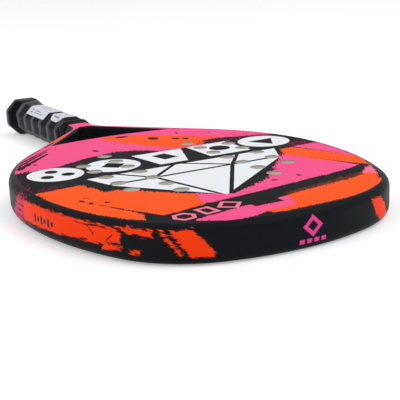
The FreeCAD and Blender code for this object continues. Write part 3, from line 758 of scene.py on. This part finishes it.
def rubber_skin_group():
    """Tacky rubber film: leathery pores, soft creases and patchy roughness from handling; the same patches
    are also given out for the finishes to paint a paler sheen into their colour.
    """
    tree, wire, entry, leave = new_group(
        "rubber_skin",
        [("Place", "NodeSocketVector", None), ("Base Roughness", "NodeSocketFloat", 0.4)],
        [("Roughness", "NodeSocketFloat"), ("Height", "NodeSocketFloat"), ("Painted Sheen", "NodeSocketFloat")])
    pores = wire.add("ShaderNodeTexVoronoi")
    wire.feed(pores.inputs["Vector"], entry["Place"])
    pores.inputs["Scale"].default_value = 1100.0
    crease = wire.noise(wire.vector("MULTIPLY", entry["Place"], (60.0, 420.0, 60.0)), 1.0, 4.0, 0.6)
    handling_and_sheen = wire.noise(entry["Place"], 70.0, 3.0)
    height = wire.math("MULTIPLY_ADD", crease, 0.8, pores.outputs["Distance"])
    wire.feed(leave["Height"], height)
    wire.feed(leave["Painted Sheen"], handling_and_sheen)
    wire.feed(leave["Roughness"], wire.math("MULTIPLY_ADD", handling_and_sheen, 0.06, entry["Base Roughness"]))
    return tree


def grip_rubber():
    """Black wrap: a highlight is painted along the crest of each turn, and the black is painted paler in
    patches as sheen.
    """
    material, wire, shader, place = new_material("grip_wrap")
    skin = place_group(wire, group("rubber_skin"), Place=place, Base_Roughness=0.3)
    lap = wire.add("ShaderNodeAttribute", attribute_name="lap_crest_highlight").outputs["Fac"]
    # Painted sheen: the black is painted paler in patches.
    shade = wire.blend(wire.range(skin["Painted Sheen"], -1.0, 1.0), tone(6, 6, 8), tone(15, 15, 18))
    # Painted highlight: the crest of each turn is painted pale, more strongly where the painted sheen is.
    colour = wire.blend(wire.math("MULTIPLY", lap, wire.range(skin["Painted Sheen"], -0.8, 0.8, 0.35, 0.95)), shade,
                        tone(98, 101, 109))
    wire.feed(shader.inputs["Base Color"], colour)
    wire.feed(shader.inputs["Roughness"], skin["Roughness"])
    wire.feed(shader.inputs["Normal"], wire.bump(skin["Height"], 0.00007, 0.5))
    shader.inputs["Specular IOR Level"].default_value = 0.035
    return material


def tape_vinyl():
    """Smooth black tape."""
    material, wire, shader, place = new_material("grip_tape")
    skin = place_group(wire, group("rubber_skin"), Place=place, Base_Roughness=0.25)
    # Painted sheen: the black tape is painted paler in patches.
    colour = wire.blend(wire.range(skin["Painted Sheen"], -1.0, 1.0), tone(14, 14, 16), tone(26, 27, 30))
    wire.feed(shader.inputs["Base Color"], colour)
    wire.feed(shader.inputs["Roughness"], skin["Roughness"])
    wire.feed(shader.inputs["Normal"], wire.bump(skin["Height"], 0.00006, 0.5))
    shader.inputs["Specular IOR Level"].default_value = 0.08
    return material


def label_paper(name, rows):
    """White sticker paper with plain grey bars; each row is place across, start, end, half height."""
    material, wire, shader, place = new_material(name)
    sheet = wire.add("ShaderNodeUVMap", uv_map="label_uv").outputs["UV"]
    far, v, _ = wire.separate(sheet)
    u = wire.math("SUBTRACT", 1.0, far)
    spread = wire.combine(wire.math("MULTIPLY", v, 26.0), wire.math("MULTIPLY", u, 9.0), 0.0)
    words = wire.noise(spread, 1.0, 1.0)
    plane = wire.combine(u, v, 1.0)
    bars = []
    for across, start, end, half in rows:
        bars.append(inside_shape(wire, plane, [(across - half, start), (across + half, start),
                                               (across + half, end), (across - half, end)]))
    mark = wire.math("MULTIPLY_ADD", any_of(wire, bars), 120.0, 0.5, clamp=True)
    mark = wire.math("MULTIPLY", mark, wire.range(words, -0.5, -0.2, 0.25, 0.8))
    fibre = wire.noise(place, 1500.0, 3.0)
    paper = wire.blend(wire.range(fibre, -1.0, 1.0), tone(206, 209, 220), tone(226, 228, 236))
    wire.feed(shader.inputs["Base Color"], wire.blend(mark, paper, tone(70, 72, 78)))
    wire.feed(shader.inputs["Roughness"], wire.math("MULTIPLY_ADD", fibre, 0.04, 0.4))
    crinkle = wire.noise(place, 120.0, 2.0)
    wire.feed(shader.inputs["Normal"], wire.bump(wire.math("ADD", fibre, crinkle), 0.00008, 0.4))
    return material


# ---------------------------------------------------------------- wound grip

PALLET_X = PALLET_HIGH.x
PALLET_Z = PALLET_HIGH.z
WRAP_THICK = 1.8
FLARE_X = GRIP_HIGH.x + 1.6
FLARE_Z = GRIP_HIGH.z + 0.5
TAPE_OVERRUN = 3.5
NECK_X = TAPE_HIGH.x - 0.8
NECK_Z = TAPE_HIGH.z - 0.8
TAPER_START = 134.0
GRIP_END = GRIP_HIGH.y
WRAP_PITCH = 21.0
LAP_HEIGHT = 1.1
LAP_TOP = 0.4
CORNER_CUT = 9.05
FLARE_CUT = 10.05
NECK_CUT = 4.4
TAPE_CUT = 3.515
# How much a corner cut grows for each millimetre that the flats move out.
CUT_GROWTH = 0.586
# Half width of the straight handle's top flat, on which the labels are centred.
TOP_FLAT = 6.45
LABEL_LIFT = 0.12
LABEL_THICK = 0.1
# Where the flare ends and the straight handle begins.
FLARE_END = 12.0
HANDLE_START = 27.0
AROUND = 96
GRIP_STEPS = 250


def eased(value, low, high):
    share = min(max((value - low) / (high - low), 0.0), 1.0)
    return share * share * (3 - 2 * share)


def handle_section(y, lift=0.0):
    """Half width, half height and corner cut of the handle at a station."""
    body = (PALLET_X + WRAP_THICK, PALLET_Z + WRAP_THICK, CORNER_CUT)
    flare = (FLARE_X - LAP_TOP, FLARE_Z - LAP_TOP, FLARE_CUT)
    neck = (NECK_X + 1.5, NECK_Z + 1.7, NECK_CUT)
    back = 1.0 - eased(y, FLARE_END, HANDLE_START)
    front = eased(y, TAPER_START, GRIP_END)
    size = [b + (f - b) * back + (n - b) * front for b, f, n in zip(body, flare, neck)]
    return size[0] + lift, size[1] + lift, size[2] + lift * CUT_GROWTH


def eight_sided(angle, half_x, half_z, cut, power=34.0):
    """Distance from the axis to a soft-cornered eight-sided section."""
    slant = (half_x + half_z - cut) / math.sqrt(2)
    total = 0.0
    for step in range(8):
        facing = max(math.cos(angle - step * math.pi / 4), 0.0)
        reach = slant if step % 2 else (half_x if step % 4 == 0 else half_z)
        total += (facing / reach) ** power
    return total ** (-1.0 / power)


def lap_phase(angle, y):
    """How far a point is along its turn of the wrap, from 0 at its lap edge to 1."""
    turns = (y - 3.0) / WRAP_PITCH + angle / (2 * math.pi)
    wander = 0.045 * math.sin(3 * angle + 0.3 * y)
    return (turns + wander) % 1.0


def lap_rise(angle, y):
    """Height of the wrap over its mean: a groove, then a padded turn that thins towards the next lap."""
    phase = lap_phase(angle, y)
    padded = eased(phase, 0.0, 0.12) * (1.0 - 0.75 * eased(phase, 0.2, 1.0))
    start = eased(y, 5.0, 9.0)
    end = 1.0 - eased(y, GRIP_END - 3.0, GRIP_END)
    return (LAP_HEIGHT * padded - (LAP_HEIGHT - LAP_TOP)) * start * end


def grip_radius(angle, y):
    half_x, half_z, cut = handle_section(y)
    return eight_sided(angle, half_x, half_z, cut) + lap_rise(angle, y)


def set_ring(verts, y, radius):
    """Move a ring of points to a station, each to its own distance from the axis."""
    for step, vert in enumerate(verts):
        angle = 2 * math.pi * step / len(verts)
        reach = radius(angle, y)
        vert.co = Vector((reach * math.cos(angle), y, reach * math.sin(angle))) * MM


def next_ring(bm, edges):
    """Extrude a ring of edges; returns the new points and the new edges."""
    grown = bmesh.ops.extrude_edge_only(bm, edges=edges)["geom"]
    verts = [item for item in grown if isinstance(item, bmesh.types.BMVert)]
    return verts, [item for item in grown if isinstance(item, bmesh.types.BMEdge)]


def closed_sleeve(stations):
    """Tube made ring by ring from rows of y and radius function, its last ring joined to its first."""
    bm = bmesh.new()
    first = bmesh.ops.create_circle(bm, cap_ends=False, segments=AROUND, radius=1.0)["verts"]
    first_edges = list(bm.edges)
    set_ring(first, *stations[0])
    verts, edges = first, first_edges
    for y, radius in stations[1:]:
        verts, edges = next_ring(bm, edges)
        verts = sorted(verts, key=lambda vert: vert.index)
        set_ring(verts, y, radius)
    bmesh.ops.bridge_loops(bm, edges=first_edges + edges)
    bmesh.ops.recalc_face_normals(bm, faces=bm.faces)
    return bm


def mark_laps(bm):
    """Point attribute that is 1 along the crest of each turn of the wrap, where a highlight is painted into
    the colour.
    """
    layer = bm.verts.layers.float.new("lap_crest_highlight")
    for vert in bm.verts:
        y = vert.co.y / MM
        angle = math.atan2(vert.co.z, vert.co.x)
        phase = lap_phase(angle, y)
        near = 1.0 - eased(abs(phase - 0.2), 0.0, 0.24)
        vert[layer] = near if y > 6.0 else 0.0


def make_grip():
    """The wound grip as one closed sleeve: its wrapped outside, and a seat over the pallets."""
    long = GRIP_END - GRIP_LOW.y
    outer = [(GRIP_LOW.y + long * step / GRIP_STEPS, grip_radius) for step in range(GRIP_STEPS + 1)]

    def seat(angle, y):
        half_x, half_z, cut = handle_section(y, -0.9 if y > TAPER_START else -1.5)
        return eight_sided(angle, half_x, half_z, cut)

    stations = (GRIP_END, 138.0, 135.0, TAPER_START, 80.0, 26.0, 20.0, 14.0, 8.0, GRIP_LOW.y)
    inner = [(y, seat) for y in stations]
    bm = closed_sleeve(outer + inner)
    mark_laps(bm)
    add_piece("wound_grip", bm, "base_grip", grip_rubber())


def make_tape():
    """Two turns of vinyl round the end of the grip, with rounded edges."""
    end = TAPE_HIGH.y + TAPE_OVERRUN
    start = TAPE_LOW.y

    def at(lift):
        def radius(angle, y):
            cut = TAPE_CUT + lift * CUT_GROWTH
            return eight_sided(angle, NECK_X + lift, NECK_Z + lift, cut, 40.0)
        return radius

    profile = [(start - 0.4, 0.6), (start - 0.4, 1.5), (start - 0.1, 1.9), (start + 1.7, 1.85),
               (start + 2.0, 1.5), (start + 3.6, 1.35), (start + 3.9, 1.0), (end - 0.5, 0.8),
               (end - 0.1, 0.5), (end, 0.04), (start + 1.0, 0.04)]
    bm = closed_sleeve([(y, at(lift)) for y, lift in profile])
    add_piece("neck_tape", bm, "finishing_tape", tape_vinyl())


def label_point(across, y):
    """Point of a label, across millimetres from the middle of the upper flat, round the corners."""
    half_x, half_z, cut = handle_section(y)
    flat = half_x - cut
    side = 1.0 if across >= 0 else -1.0
    far = abs(across)
    if far <= flat:
        x, z = far, half_z
    else:
        x = flat + (far - flat) / math.sqrt(2)
        z = half_z - (far - flat) / math.sqrt(2)
    angle = math.atan2(z, side * x)
    crest = max(grip_radius(angle, y + step) for step in (-2.0, -1.0, 0.0, 1.0, 2.0))
    reach = crest + LABEL_LIFT
    return Vector((reach * math.cos(angle), y, reach * math.sin(angle))) * MM


def make_label(name, node, corner, slant, bevel_share, material):
    """Paper over the top flat and a share of both slanted flats beside it, with round corners."""
    low, high = box_mm(node)
    middle = (low.y + high.y) / 2
    half_long = (high.y - low.y) / 2
    half_wide = TOP_FLAT + CORNER_CUT * math.sqrt(2) * bevel_share
    bm = bmesh.new()
    bm.loops.layers.uv.new("label_uv")
    bmesh.ops.create_grid(bm, x_segments=44, y_segments=60, size=1.0, calc_uvs=True)
    for vert in bm.verts:
        across = vert.co.x * half_wide
        edge = max(abs(across) - (half_wide - corner), 0.0)
        short = corner - math.sqrt(max(corner * corner - edge * edge, 0.0))
        along = middle + vert.co.y * (half_long - short) + slant * across
        vert.co = label_point(across, along)
    bmesh.ops.recalc_face_normals(bm, faces=bm.faces)
    if sum(face.normal.z for face in bm.faces) < 0:
        bmesh.ops.reverse_faces(bm, faces=bm.faces)
    piece = add_piece(name, bm, node, material)
    paper = piece.modifiers.new("paper", "SOLIDIFY")
    paper.thickness = LABEL_THICK * MM
    paper.offset = 1.0


LARGE_LABEL_ROWS = [(0.12, 0.14, 0.22, 0.03), (0.22, 0.12, 0.2, 0.02), (0.13, 0.34, 0.8, 0.014),
                    (0.2, 0.36, 0.62, 0.014), (0.42, 0.3, 0.86, 0.01), (0.5, 0.3, 0.78, 0.01),
                    (0.58, 0.3, 0.86, 0.01)]
SMALL_LABEL_ROWS = [(0.2, 0.2, 0.72, 0.035), (0.34, 0.3, 0.66, 0.012), (0.6, 0.2, 0.8, 0.02)]


# ---------------------------------------------------------------- finishes of the carried CAD nodes

def finish_nodes():
    laminate = painted_laminate()
    faces = face_laminate()
    finishes = {
        "frame_tube": laminate,
        "throat_bridge": laminate,
        "upper_face_skin": faces,
        "lower_face_skin": faces,
        "foam_core": foam("eva_foam", tone(236, 233, 224), tone(198, 195, 186)),
        "bridge_core": foam("bridge_foam", tone(206, 204, 196), tone(160, 158, 150)),
        "handle_pallet_upper": moulded_plastic("pallet_plastic", tone(60, 61, 64), 0.55),
        "handle_pallet_lower": None,
        "butt_cap": moulded_plastic("cap_plastic", tone(24, 24, 26), 0.42),
        "cap_staples": staple_wire(),
    }
    finishes["handle_pallet_lower"] = finishes["handle_pallet_upper"]
    for name, material in finishes.items():
        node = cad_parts[name]
        node.data.materials.clear()
        node.data.materials.append(material)


# ---------------------------------------------------------------- the whole scene

bpy.context.scene.view_settings.view_transform = "Standard"
make_camera()
make_world()
make_lamp("key_lamp", (-0.9, 1.2, 1.6), (0, 0.3, 0), (1.4, 1.4), 11.0)
make_lamp("fill_lamp", (1.6, 0.2, 1.2), (0, 0.3, 0), (1.2, 1.2), 7.0)
make_floor()
finish_nodes()
make_grip()
make_tape()
make_label("product_label", "large_label", 1.2, -0.06, 0.7, label_paper("label_paper", LARGE_LABEL_ROWS))
make_label("seal_label", "small_label", 8.0, -0.08, 0.5, label_paper("seal_paper", SMALL_LABEL_ROWS))
bpy.context.view_layer.update()
